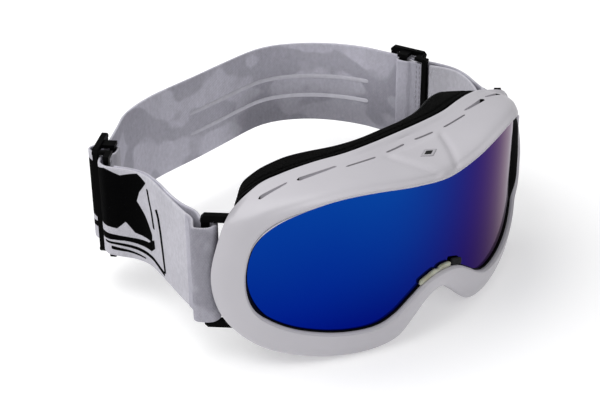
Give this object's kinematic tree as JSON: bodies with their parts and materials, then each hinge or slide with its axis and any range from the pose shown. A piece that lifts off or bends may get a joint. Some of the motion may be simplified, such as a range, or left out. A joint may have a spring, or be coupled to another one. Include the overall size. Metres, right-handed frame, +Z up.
{
  "type": "ski goggles",
  "caption": "Wrap-round ski goggles with a cylindrical mirror lens, vented brow, soft face foam, pivoting strap loops and an elastic strap with sliding adjusters.",
  "frame": {"origin": "centre of the bounding box in plan, on the ground plane under the cheek lobes of the frame", "axes": "+X to the right as seen from the front, +Y from the lens back towards the back of the strap, +Z up; the lens faces -Y"},
  "size_m": [0.1756, 0.156, 0.0751],
  "materials": {
    "shell": "pearl white, glossy",
    "mirror_lens": "deep blue mirror coating on a curved plastic lens",
    "clear_lens": "clear, anti-fog",
    "dark_frame": "matte black moulding",
    "black_plastic": "satin black moulding",
    "badge": "gloss black, blank",
    "clip": "pale translucent",
    "foam": "fine black open-cell foam",
    "vent_foam": "coarse black filter foam",
    "fleece": "short brushed fleece",
    "webbing": "woven elastic webbing, pale lilac-grey with a dark abstract print outside",
    "grip": "pale silicone line"
  },
  "bodies": {
    "goggles": {"frame_shell": "shell", "lens_outer": "mirror_lens", "lens_spacer": "foam", "lens_inner": "clear_lens", "inner_frame": "dark_frame", "vent_foam_top": "vent_foam", "face_foam_base": "foam", "face_foam_soft": "foam", "face_fleece": "fleece", "nose_clip": "clip", "brow_badge": "badge", "hinge_sleeve_left": "dark_frame", "hinge_sleeve_right": "dark_frame", "strap_main": "webbing", "strap_turn_left": "webbing", "strap_turn_right": "webbing", "grip_line_upper": "grip", "grip_line_lower": "grip"},
    "loop_left": {"strap_loop_left": "black_plastic"},
    "loop_right": {"strap_loop_right": "black_plastic"},
    "adjuster_left": {"slider_left": "black_plastic", "strap_end_left": "webbing"},
    "adjuster_right": {"slider_right": "black_plastic", "strap_end_right": "webbing"}
  },
  "joints": [
    {"name": "loop_left_swing", "type": "hinge", "parent": "goggles", "child": "loop_left", "pos_m": [-0.07482, -0.03984, 0.0396], "axis": [0, 0, 1], "range_deg": [-7, 7]},
    {"name": "loop_right_swing", "type": "hinge", "parent": "goggles", "child": "loop_right", "pos_m": [0.07126, -0.03984, 0.0396], "axis": [0, 0, 1], "range_deg": [-7, 7]},
    {"name": "adjuster_left_slide", "type": "slide", "parent": "goggles", "child": "adjuster_left", "axis": [0.7682, 0.6402, 0], "range_m": [0, 0.01]},
    {"name": "adjuster_right_slide", "type": "slide", "parent": "goggles", "child": "adjuster_right", "axis": [-0.2557, 0.9668, 0], "range_m": [0, 0.01]}
  ]
}
